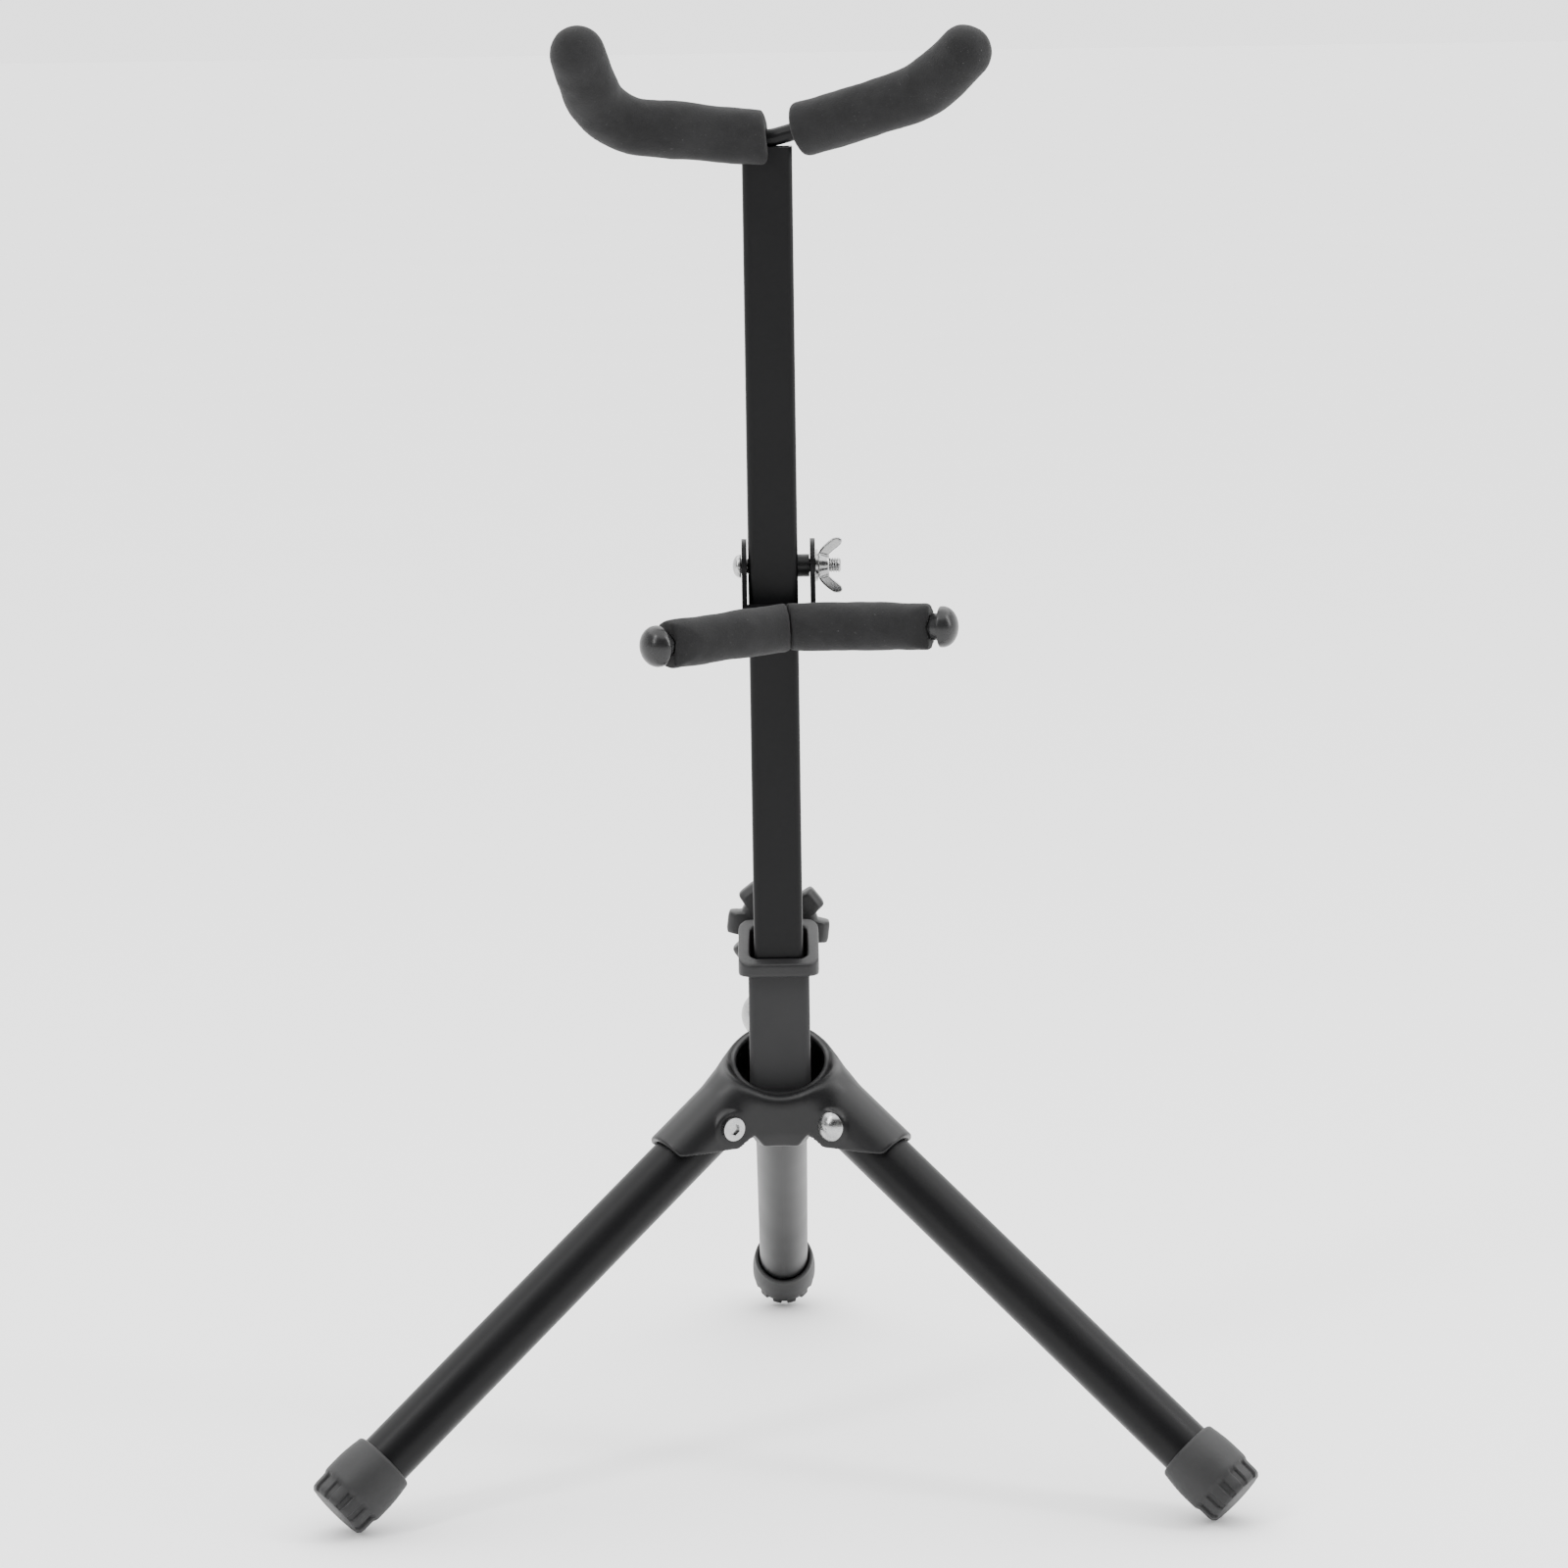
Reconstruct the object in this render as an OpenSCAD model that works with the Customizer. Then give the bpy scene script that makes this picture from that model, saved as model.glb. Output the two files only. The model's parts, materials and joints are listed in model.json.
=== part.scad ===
// Folding stand for an alto or tenor saxophone.
// Origin: on the floor, at the centre of the footprint. +Z up, the instrument
// hangs on the -Y side, the single rear leg points to +Y.

/* [Tripod] */
// Angle of an open leg below the horizontal, degrees
leg_slope = 37.4; // [34:0.2:42]
// Outside diameter of a leg tube
leg_d = 22; // [20:0.5:23]
// Wall thickness of a leg tube
leg_wall = 1.2; // [0.8:0.1:2]
// Horizontal distance from the column axis to the end of a leg
foot_reach = 206; // [180:2:240]
// Horizontal distance from the column axis to a leg hinge
hinge_reach = 31; // [30:0.5:34]
// Diameter of the leg hinge bolts
hinge_d = 6; // [4:0.5:7]

/* [Feet] */
// Length of a rubber foot
foot_len = 28; // [24:1:34]
// Largest diameter of a rubber foot
foot_d = 28.8; // [28:0.2:32]
// Number of grip ribs round the end of a foot
foot_ribs = 12; // [8:1:16]

/* [Hub] */
// Outside diameter of a leg socket
socket_d = 28; // [28:0.2:30]
// Diameter of the opening that the column stands in
hub_bore_d = 36; // [35:0.5:37]
// Outside diameter of the web between the sockets
web_d = 49; // [48:0.5:52]

/* [Column] */
// Width of the lower square tube
outer_w = 25; // [25:0.1:25.4]
// Width of the upper square tube
inner_w = 20; // [19.6:0.1:20]
// Wall thickness of both square tubes
tube_wall = 1.2; // [1:0.1:1.2]
// Height of the top of the upper tube above the floor, as set
column_top = 538; // [500:2:546]
// Length of the upper tube left inside the lower one, as set
column_overlap = 42; // [40:1:46]

/* [Height clamp] */
// Outside width of the clamp collar
collar_w = 33; // [33:0.5:36]
// Diameter over the lobes of the clamp knob
knob_d = 44; // [40:1:46]
// Number of lobes on the clamp knob
knob_lobes = 8; // [6:1:9]

/* [Yoke] */
// Diameter of the yoke rod
yoke_rod_d = 7; // [6:0.5:8]
// Diameter of the foam on the yoke
yoke_foam_d = 22.6; // [20:0.2:25]
// Forward lean of the yoke from the vertical, degrees
yoke_lean = 40; // [30:1:45]

/* [Body rest] */
// Height of the pivot bolt above the floor
pivot_z = 370.4; // [340:0.2:380]
// Diameter of the pivot bolt
pivot_d = 6; // [5:0.5:6]
// Diameter of the rest rod
rest_rod_d = 8; // [6:0.5:9]
// Diameter of the foam on the rest arms
rest_foam_d = 19.4; // [17:0.2:19.6]
// Length of a rest arm from the weld to the end cap
rest_arm = 62; // [55:1:70]

/* [Hidden] */
$fn = 72;
e = 0.01;
al = leg_slope;
LEFT = 210;
RIGHT = -30;
REAR = 90;

// Outline of a foot: distance back from the leg's end, radius.
fr = foot_d / 2;
foot_outline = [[foot_len, fr - 1.6], [foot_len - 1.2, fr - 1.1], [foot_len * 0.62, fr], [foot_len * 0.36, fr - 0.2],
  [foot_len * 0.3, fr - 0.8], [0, fr - 0.8]];
// Distances along a leg, from the point where the three leg axes meet.
s_end = foot_reach / cos(al);
s_pin = hinge_reach / cos(al);
s_mouth = s_pin + 24;
// Height of that point. Each foot is worn flat by this much where it stands on the floor.
foot_flat = 1;
apex = max([for (p = foot_outline) p[1] * cos(al) + (s_end - p[0]) * sin(al)]) - foot_flat;
pin_z = apex - hinge_reach * tan(al);
// Footprint front to back, to centre it on the origin.
k_front = cos(al) / 2;
y_hi = max([for (p = foot_outline) (s_end - p[0]) * cos(al) + p[1] * sin(al)]);
y_lo = max([for (p = foot_outline) (s_end - p[0]) * k_front + p[1] * sqrt(1 - k_front * k_front)]);
y_off = -(y_hi - y_lo) / 2;

tube_top = 206.5;
tube_foot = 150;
liner_in = inner_w + 0.36;
collar_front = 209;
collar_back = 221.5;
collar_low = 203.8;
screw_z = 215.5;
yoke_z = column_top + yoke_rod_d / 2;
yoke_y = -6;
arm_x = 5.3;
arm_y = -24;
arm_z = pivot_z - 21.6;
sweep_l = 37;
sweep_r = 15;
neck_r = 22.4;
neck_mid = 22.4;
neck_slope = 27;
ear_l = -12.6;
ear_r = 17;

module place() translate([0, y_off, 0]) children();
module on_leg(a) translate([0, 0, apex]) rotate([0, 0, a]) rotate([0, al, 0]) children();
module bar(r, l) rotate([0, 90, 0]) cylinder(r = r, h = l);
module round_square(w, r, h) linear_extrude(height = h) rsq(w, r);
module rsq(w, r) {
  square([w - 2 * r, w], center = true);
  square([w, w - 2 * r], center = true);
  for (x = [-1, 1], y = [-1, 1]) translate([x * (w / 2 - r), y * (w / 2 - r)]) circle(r = r);
}
module square_tube(w, r, wall, h) difference() {
  round_square(w, r, h);
  translate([0, 0, -1]) round_square(w - 2 * wall, r - wall + 0.2, h + 2);
}
// Spherical cap with its flat side on the XY plane.
module dome(r, h) {
  R = (r * r + h * h) / (2 * h);
  intersection() {
    translate([0, 0, h - R]) sphere(r = R);
    cylinder(r = r + 1, h = h + 1);
  }
}

// ---- hub
module socket_shell(a) on_leg(a) {
  bar(socket_d / 2, s_mouth);
  // straight cheeks below the middle, for the hinge bolt
  translate([0, -socket_d / 2 + 0.1, -16]) cube([s_mouth, socket_d - 0.2, 16]);
}
module socket_room(a) on_leg(a) {
  translate([s_pin - 12.4, 0, 0]) bar(leg_d / 2 + 0.5, 80);
  translate([s_pin - 12.4, -leg_d / 2 - 0.5, -80]) cube([120, leg_d + 1, 80]);
  // open underside of the socket
  translate([s_pin - 5, -20, -89]) cube([100, 40, 80]);
  // hinge hole and locating hole
  translate([s_pin, 25, 0]) rotate([90, 0, 0]) cylinder(r = hinge_d / 2, h = 50);
  translate([s_mouth - 5, 25, -5.6]) rotate([90, 0, 0]) cylinder(r = 1.3, h = 50);
}
module hub() place() color([0.07, 0.07, 0.075]) {
  difference() {
    union() {
      rotate_extrude() polygon([[0, pin_z - 9], [web_d / 2 - 1, pin_z - 9], [web_d / 2, pin_z - 6], [web_d / 2, pin_z + 5],
        [web_d / 2 - 0.8, pin_z + 8.5], [web_d / 2 - 2.6, pin_z + 11.2], [web_d / 2 - 5, pin_z + 12.4], [0, pin_z + 12.4]]);
      for (a = [LEFT, RIGHT, REAR]) socket_shell(a);
      // neck round the column, cut off below at a slope
      translate([0, 0, pin_z]) cylinder(r = neck_r, h = 40);
    }
    intersection() {
      translate([0, 0, pin_z]) cylinder(r = neck_r + 0.6, h = 60);
      translate([0, 0, pin_z + neck_mid]) rotate([neck_slope, 0, 0]) translate([-40, -60, 0]) cube([80, 120, 60]);
    }
    for (a = [LEFT, RIGHT, REAR]) socket_room(a);
    translate([0, 0, 60]) cylinder(r = hub_bore_d / 2, h = 160);
    translate([-60, -60, 0]) cube([120, 120, pin_z - 9]);
    // clearance for the retaining screw at the back
    translate([0, 30, tube_foot + 14]) rotate([90, 0, 0]) cylinder(r = 2.2, h = 30);
  }
  // saddles that grip the front and the back of the column foot
  difference() {
    intersection() {
      translate([0, 0, tube_foot - 3]) cylinder(r = hub_bore_d / 2 + 0.5, h = 9);
      translate([-outer_w / 2 + 2, -30, 0]) cube([outer_w - 4, 60, 300]);
    }
    translate([-outer_w / 2, -outer_w / 2, tube_foot]) cube([outer_w, outer_w, 40]);
    translate([-11.4, -11.4, 0]) cube([22.8, 22.8, 300]);
  }
}
module hub_screw() place() color([0.75, 0.75, 0.77]) translate([0, 0, tube_foot + 14]) rotate([-90, 0, 0]) {
  translate([0, 0, outer_w / 2 - tube_wall]) cylinder(r = 2.2, h = 9.5);
  translate([0, 0, outer_w / 2 + 0.05]) cylinder(r = 4.2, h = 3);
}
module hinge_bolts() place() color([0.78, 0.78, 0.8]) for (a = [LEFT, RIGHT, REAR]) on_leg(a) translate([s_pin, 0, 0]) rotate([90, 0, 0]) {
  translate([0, 0, -socket_d / 2]) cylinder(r = hinge_d / 2, h = socket_d);
  translate([0, 0, socket_d / 2]) dome(6.2, 3);
}
module hinge_nuts() place() color([0.78, 0.78, 0.8]) for (a = [LEFT, RIGHT, REAR]) on_leg(a) translate([s_pin, socket_d / 2, 0]) rotate([-90, 0, 0]) difference() {
  cylinder(r = 4.8, h = 2);
  translate([0, 0, 0.6]) cylinder(r = 2.6, h = 3, $fn = 6);
}

// ---- legs
module pin_hole(a) on_leg(a) translate([s_pin, 25, 0]) rotate([90, 0, 0]) cylinder(r = hinge_d / 2 + 0.05, h = 50);
// The hinged end of a leg stays inside a ball about the hinge, so it turns in the round socket.
ball = leg_d / 2 + 0.2;
leg_in = leg_d / 2 - leg_wall;
function ball_at(r) = -sqrt(ball * ball - r * r);
module along(a) on_leg(a) translate([s_pin, 0, 0]) rotate([0, 90, 0]) rotate_extrude() children();
module leg_tube(a) difference() {
  along(a) polygon([[leg_in, ball_at(leg_in)], [leg_d / 2, ball_at(leg_d / 2)], [leg_d / 2, s_end - 5 - s_pin], [leg_in, s_end - 5 - s_pin]]);
  pin_hole(a);
}
module leg_plug(a) difference() {
  along(a) polygon([[0, -ball + 0.1], [4.6, ball_at(4.6)], [7.6, ball_at(7.6)], [leg_in, ball_at(leg_in)], [leg_in, 22], [leg_in - 2, 22], [leg_in - 2, 8], [0, 8]]);
  pin_hole(a);
}
module leg_foot(a) difference() {
  foot_body(a);
  translate([-300, -300, -20]) cube([600, 600, 20]);
}
module foot_body(a) on_leg(a) translate([s_end, 0, 0]) rotate([0, -90, 0]) difference() {
  rotate_extrude() polygon(concat([[0, 0]], [for (i = [len(foot_outline) - 1:-1:0]) [foot_outline[i][1], foot_outline[i][0]]], [[0, foot_len]]));
  translate([0, 0, 5]) cylinder(r = leg_d / 2, h = foot_len);
  for (i = [0:foot_ribs - 1]) rotate([0, 0, (i + 0.5) * 360 / foot_ribs]) translate([fr + 0.9, 0, -1]) cylinder(r = 2.6, h = foot_len * 0.27 + 1);
}
module leg_left_tube() place() color([0.05, 0.05, 0.055]) leg_tube(LEFT);
module leg_right_tube() place() color([0.05, 0.05, 0.055]) leg_tube(RIGHT);
module leg_rear_tube() place() color([0.05, 0.05, 0.055]) leg_tube(REAR);
module leg_left_plug() place() color([0.1, 0.1, 0.1]) leg_plug(LEFT);
module leg_right_plug() place() color([0.1, 0.1, 0.1]) leg_plug(RIGHT);
module leg_rear_plug() place() color([0.1, 0.1, 0.1]) leg_plug(REAR);
module leg_left_foot() place() color([0.12, 0.12, 0.12]) leg_foot(LEFT);
module leg_right_foot() place() color([0.12, 0.12, 0.12]) leg_foot(RIGHT);
module leg_rear_foot() place() color([0.12, 0.12, 0.12]) leg_foot(REAR);

// ---- column
module outer_tube() place() color([0.06, 0.06, 0.065]) difference() {
  translate([0, 0, tube_foot]) square_tube(outer_w, 2.6, tube_wall, tube_top - tube_foot);
  translate([-outer_w / 2 - 1, 2, 184]) rotate([0, 90, 0]) cylinder(r = 2, h = 8);
  translate([0, outer_w / 2 + 1, tube_foot + 14]) rotate([90, 0, 0]) cylinder(r = 2.2, h = 5);
}
module tube_liner() place() color([0.15, 0.15, 0.15]) difference() {
  translate([0, 0, tube_foot + 20]) round_square(outer_w - 2 * tube_wall, 1.6, tube_top - tube_foot - 20);
  translate([0, 0, tube_foot]) round_square(liner_in, 1.2, 100);
  translate([-outer_w / 2 - 1, 2, 184]) rotate([0, 90, 0]) cylinder(r = 2, h = 8);
}
module liner_rivet() place() color([0.8, 0.8, 0.82]) translate([-outer_w / 2, 2, 184]) rotate([0, -90, 0]) {
  dome(7.6, 3.2);
  translate([0, 0, -2.2]) cylinder(r = 2, h = 2.3);
}
module collar() place() color([0.09, 0.09, 0.09]) difference() {
  union() {
    translate([0, 0, collar_low]) round_square(collar_w, 6, collar_back - collar_low);
    translate([0, collar_w / 2 - 1, screw_z]) rotate([-90, 0, 0]) cylinder(r = 6.5, h = 4.5);
  }
  translate([0, 0, collar_low - 1]) round_square(outer_w, 2.6, tube_top - collar_low + 1);
  translate([0, 0, collar_low]) round_square(inner_w + 3, 3.2, 60);
  // sloping top
  translate([0, -collar_w / 2, collar_front]) rotate([atan((collar_back - collar_front) / collar_w), 0, 0]) translate([-40, -30, 0]) cube([80, 120, 40]);
  translate([0, 0, screw_z]) rotate([-90, 0, 0]) cylinder(r = 3, h = 40);
}
module clamp_screw() place() color([0.75, 0.75, 0.77]) translate([0, inner_w / 2 + 0.35, screw_z]) rotate([-90, 0, 0]) cylinder(r = 2.95, h = 19);
module clamp_knob() place() color([0.08, 0.08, 0.08]) translate([0, collar_w / 2 + 4.2, screw_z]) rotate([-90, 0, 0]) {
  rotate_extrude() polygon([[2.95, 0], [7.5, 0], [7.5, 4], [knob_d / 2 - 4.4, 4], [knob_d / 2 - 4.4, 13], [7.5, 13], [7.5, 16], [0, 16], [0, 10.6], [2.95, 10.6]]);
  for (i = [0:knob_lobes - 1]) rotate([0, 0, i * 360 / knob_lobes + 7]) translate([knob_d / 2 - 4.8, 0, 3]) cylinder(r = 4.8, h = 11);
}
module inner_column() place() color([0.05, 0.05, 0.055]) difference() {
  translate([0, 0, tube_top - column_overlap]) square_tube(inner_w, 2.4, tube_wall, column_top - tube_top + column_overlap);
  translate([-30, 0, pivot_z]) bar(pivot_d / 2, 60);
  // notch that the yoke rod is welded into
  translate([-30, yoke_y, yoke_z - 0.3]) rotate([0, 90, 0]) cylinder(r = yoke_rod_d / 2 + 0.6, h = 60);
}
module column_plug() place() color([0.12, 0.12, 0.12]) translate([0, 0, tube_top - column_overlap]) difference() {
  union() {
    translate([0, 0, -2]) round_square(inner_w - 0.4, 2.2, 2);
    round_square(inner_w - 2 * tube_wall, 1.4, 12);
  }
  translate([0, 0, 1.5]) round_square(inner_w - 2 * tube_wall - 3, 1, 20);
}

// ---- yoke
// The rod is one bar in a leaning plane: a shallow bend at the weld, then an arm and an
// upturned tip on each side. Each side is a list of [x, y, heading] along its centre line.
mid_R = 20;
mid_turn = 14;
function on_arc(p, h, R, t) = [p[0] + R * (sin(h + t) - sin(h)), p[1] + R * (cos(h) - cos(h + t)), h + t];
function ahead(q, l) = [q[0] + l * cos(q[2]), q[1] + l * sin(q[2]), q[2]];
function side_path(h0, l1, R, turn, l2) = let(
    mid = [for (i = [0:4]) on_arc([0, 0], h0, mid_R, mid_turn * i / 4)],
    m = mid[4],
    run = [for (f = [0.15, 0.4, 0.7, 1]) ahead(m, l1 * f)],
    c = run[3],
    arc = [for (i = [1:9]) on_arc(c, c[2], R, turn * i / 9)],
    d = arc[8]
  ) concat(mid, run, arc, [ahead(d, l2 * 0.5), ahead(d, l2)]);
right_path = side_path(6, 48, 40, 33, 14.9);
left_path = side_path(-6, 43.5, 24, 68, 20.9);
// Closed skin through a list of rings [x, y, heading, radius].
module skin(rings, sides) {
  n = len(rings);
  pts = [for (q = rings, i = [0:sides - 1]) let(f = 360 * i / sides)
    [q[0] - q[3] * cos(f) * sin(q[2]), q[1] + q[3] * cos(f) * cos(q[2]), q[3] * sin(f)]];
  polyhedron(points = pts, convexity = 6, faces = concat(
    [[for (i = [sides - 1:-1:0]) i]],
    [for (k = [0:n - 2], i = [0:sides - 1]) let(j = (i + 1) % sides) [k * sides + i, k * sides + j, (k + 1) * sides + j]],
    [for (k = [0:n - 2], i = [0:sides - 1]) let(j = (i + 1) % sides) [k * sides + i, (k + 1) * sides + j, (k + 1) * sides + i]],
    [[for (i = [0:sides - 1]) (n - 1) * sides + i]]));
}
function ring(q, r) = [q[0], q[1], q[2], r];
// A foam sleeve from path point number k0 to the tip, with a blind bore for the rod.
module foam(path, k0, r, bore) {
  k1 = len(path) - 1;
  tip = path[k1];
  skin(concat(
    [for (k = [k1:-1:k0]) ring(path[k], bore)],
    [ring(ahead(path[k0], 0.02), r - 2.4), ring(ahead(path[k0], 0.8), r - 0.8), ring(ahead(path[k0], 2.4), r)],
    [for (k = [k0 + 1:k1]) ring(path[k], r)],
    [for (t = [15, 30, 45, 60, 74, 86]) ring(ahead(tip, r * sin(t)), r * cos(t))]), 28);
}
module yoke_frame() translate([0, yoke_y, yoke_z]) rotate([90 + yoke_lean, 0, 0]) children();
module yoke_rod() place() color([0.06, 0.06, 0.06]) yoke_frame()
  skin(concat(
    [for (k = [len(left_path) - 1:-1:0]) let(q = left_path[k]) [-q[0], q[1], -q[2], yoke_rod_d / 2]],
    [for (k = [1:len(right_path) - 1]) ring(right_path[k], yoke_rod_d / 2)]), 20);
module yoke_sleeve_right() place() color([0.1, 0.1, 0.1]) yoke_frame() foam(right_path, 5, yoke_foam_d / 2, yoke_rod_d / 2);
module yoke_sleeve_left() place() color([0.1, 0.1, 0.1]) yoke_frame() mirror([1, 0, 0]) foam(left_path, 0, yoke_foam_d / 2, yoke_rod_d / 2);

// ---- body rest
module pivot_bolt() place() color([0.78, 0.78, 0.8]) translate([0, 0, pivot_z]) {
  translate([ear_l - 0.3, 0, 0]) bar(pivot_d / 2, 40.3);
  translate([ear_l - 0.3, 0, 0]) rotate([0, -90, 0]) dome(4.8, 3.4);
}
module pivot_spacer() place() color([0.08, 0.08, 0.08]) translate([inner_w / 2, 0, pivot_z]) difference() {
  bar(4.6, ear_r - 2 - 0.3 - inner_w / 2);
  translate([-1, 0, 0]) bar(pivot_d / 2, 20);
}
module ear_shape() {
  // disc round the bolt, with a tail that runs forward and down to the cross plate
  circle(r = 11);
  polygon([[-9.5, 3], [-13.4, -13], [-13.4, -29.5], [-7, -29.5], [-4, -24], [9.6, -2], [4, 4]]);
}
module ear(x) translate([x, 0, pivot_z]) rotate([90, 0, 90]) linear_extrude(height = 2) difference() {
  ear_shape();
  circle(r = pivot_d / 2 + 0.05);
}
// Tab that joins the bracket to the rod, with a gap all round for the slit in the foam.
module rest_tab(gap) translate([arm_x - 1 - gap, arm_y + rest_rod_d / 2 - 0.8, arm_z - 5 - gap]) cube([2 + 2 * gap, 8 + gap, 10 + 2 * gap]);
module rest_bracket() place() color([0.07, 0.07, 0.075]) {
  ear(ear_l);
  ear(ear_r - 2);
  translate([ear_l, -13.4, pivot_z - 29.5]) cube([ear_r - ear_l, 2, 15.5]);
  rest_tab(0);
}
module arm_frame() translate([arm_x, arm_y, arm_z]) rotate([0, -1.5, 0]) rotate([180, 0, 0]) children();
module arm_right() rotate([0, 0, sweep_r]) children();
module arm_left() rotate([0, 0, 180 - sweep_l]) children();
module rest_bore(side) rotate([0, 0, side > 0 ? 180 - sweep_l : sweep_r]) translate([-30, 0, 0]) bar(rest_rod_d / 2, rest_arm + 40);
module rest_rod() place() color([0.06, 0.06, 0.06]) arm_frame() skin([
  [-rest_arm * cos(sweep_l), rest_arm * sin(sweep_l), -sweep_l, rest_rod_d / 2],
  [0, 0, (sweep_r - sweep_l) / 2, rest_rod_d / 2],
  [rest_arm * cos(sweep_r), rest_arm * sin(sweep_r), sweep_r, rest_rod_d / 2]], 32);
module sleeve_body() translate([-9, 0, 0]) bar(rest_foam_d / 2, rest_arm - 3 + 9);
// half space on one side of the plane that splits the angle between the arms
module split(side) rotate([0, 0, (180 - sweep_l + sweep_r) / 2]) translate([-30, side > 0 ? 0.15 : -100.15, -50]) cube([60, 100, 100]);
module rest_sleeve(side) difference() {
  arm_frame() difference() {
    intersection() {
      rotate([0, 0, side > 0 ? 180 - sweep_l : sweep_r]) sleeve_body();
      split(side);
    }
    rest_bore(side);
  }
  rest_tab(0.3);
}
module rest_sleeve_right() place() color([0.1, 0.1, 0.1]) rest_sleeve(-1);
module rest_sleeve_left() place() color([0.1, 0.1, 0.1]) rest_sleeve(1);
module cap_body() translate([rest_arm - 2.6, 0, 0]) rotate([0, 90, 0]) rotate_extrude() polygon(concat(
  [[rest_rod_d / 2, 0], [5.4, 0], [5.4, 3.2], [8.2, 3.2]],
  [for (t = [0:10:80]) [8.2 * cos(t), 4.4 + 6.2 * sin(t)]],
  [[0, 10.6], [0, 2.6], [rest_rod_d / 2, 2.6]]));
module rest_cap_right() place() color([0.09, 0.09, 0.09]) arm_frame() arm_right() cap_body();
module rest_cap_left() place() color([0.09, 0.09, 0.09]) arm_frame() arm_left() cap_body();

module pivot_washer() place() color([0.8, 0.8, 0.82]) translate([ear_r + 0.2, 0, pivot_z]) difference() {
  bar(6.4, 1);
  translate([-1, 0, 0]) bar(pivot_d / 2 + 0.05, 4);
}
module wing() linear_extrude(height = 2.2, center = true) polygon([[1, 3], [4.6, 4], [8.6, 7.6], [9.8, 10.4], [8, 11.4], [5.4, 11], [2.4, 7], [0.6, 4.6]]);
module wing_nut() place() color([0.8, 0.8, 0.82]) translate([ear_r + 1.2, 0, pivot_z]) difference() {
  union() {
    bar(5, 4.6);
    rotate([90, 0, 0]) wing();
    rotate([-90, 0, 0]) wing();
  }
  translate([-1, 0, 0]) bar(pivot_d / 2 + 0.05, 20);
}

hub();
outer_tube();
tube_liner();
liner_rivet();
hub_screw();
collar();
hinge_bolts();
hinge_nuts();
leg_left_tube();
leg_left_plug();
leg_left_foot();
leg_right_tube();
leg_right_plug();
leg_right_foot();
leg_rear_tube();
leg_rear_plug();
leg_rear_foot();
clamp_knob();
clamp_screw();
inner_column();
column_plug();
yoke_rod();
yoke_sleeve_left();
yoke_sleeve_right();
pivot_bolt();
pivot_spacer();
rest_bracket();
rest_rod();
rest_sleeve_left();
rest_sleeve_right();
rest_cap_left();
rest_cap_right();
wing_nut();
pivot_washer();
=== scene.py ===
"""Looks for a folding saxophone stand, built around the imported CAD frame. Lengths in millimetres
until a mesh is made, with the column axis at x = 0, y = 0 and the floor at z = 0."""
import json
import math

import bmesh
import bpy
import numpy as np
from mathutils import Matrix, Vector, noise


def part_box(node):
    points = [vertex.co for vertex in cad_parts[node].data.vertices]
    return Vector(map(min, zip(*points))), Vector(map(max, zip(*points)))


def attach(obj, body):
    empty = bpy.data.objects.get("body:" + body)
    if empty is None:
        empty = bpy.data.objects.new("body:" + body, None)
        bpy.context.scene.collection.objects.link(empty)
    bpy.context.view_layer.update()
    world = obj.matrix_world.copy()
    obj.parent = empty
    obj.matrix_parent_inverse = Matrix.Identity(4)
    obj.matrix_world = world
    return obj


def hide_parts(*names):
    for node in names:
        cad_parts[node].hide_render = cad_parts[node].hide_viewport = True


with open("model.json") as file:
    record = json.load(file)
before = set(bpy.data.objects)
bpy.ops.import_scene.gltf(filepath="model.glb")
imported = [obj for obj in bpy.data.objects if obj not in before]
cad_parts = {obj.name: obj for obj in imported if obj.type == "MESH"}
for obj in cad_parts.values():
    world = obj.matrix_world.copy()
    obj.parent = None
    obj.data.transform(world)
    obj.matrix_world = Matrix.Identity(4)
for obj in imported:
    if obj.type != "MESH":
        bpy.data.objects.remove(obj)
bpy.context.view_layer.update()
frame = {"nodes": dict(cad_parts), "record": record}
MM = 0.001

# ---- where things are, from the CAD boxes
lo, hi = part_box("inner_column")
Y0 = (lo.y + hi.y) / 2 / MM
COLUMN_TOP = hi.z / MM
lo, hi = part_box("outer_tube")
TUBE_FOOT, TUBE_TOP = lo.z / MM, hi.z / MM
lo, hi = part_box("pivot_bolt")
PIVOT_Z = (lo.z + hi.z) / 2 / MM
BOLT_TIP = hi.x / MM
lo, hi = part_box("clamp_knob")
KNOB_Y0, KNOB_Y1, KNOB_Z = lo.y / MM - Y0, hi.y / MM - Y0, (lo.z + hi.z) / 2 / MM
AL = math.radians(37.4)
REACH, HINGE = 206.0, 31.0
S_END, S_PIN = REACH / math.cos(AL), HINGE / math.cos(AL)
S_MOUTH = S_PIN + 24
FR = 14.4
APEX = max(r * math.cos(AL) + (S_END - b) * math.sin(AL)
           for b, r in ((28, 12.8), (26.8, 13.3), (17.36, 14.4), (10.08, 14.2), (8.4, 13.6), (0, 13.6))) - 1
PIN_Z = APEX - HINGE * math.tan(AL)
LEGS = {"left": 210.0, "right": -30.0, "rear": 90.0}


def on_leg(a):
    return Matrix.Translation((0, 0, APEX)) @ Matrix.Rotation(math.radians(a), 4, "Z") @ Matrix.Rotation(AL, 4, "Y")


# ---------------------------------------------------------------- materials
def new_mat(name):
    m = bpy.data.materials.new(name)
    m.use_nodes = True
    nt = m.node_tree
    return m, nt, nt.nodes["Principled BSDF"]


def node(nt, kind, **kw):
    n = nt.nodes.new(kind)
    for k, v in kw.items():
        if k in n.inputs:
            n.inputs[k].default_value = v
        else:
            setattr(n, k, v)
    return n


def coords(nt):
    return node(nt, "ShaderNodeTexCoord").outputs["Object"]


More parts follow.
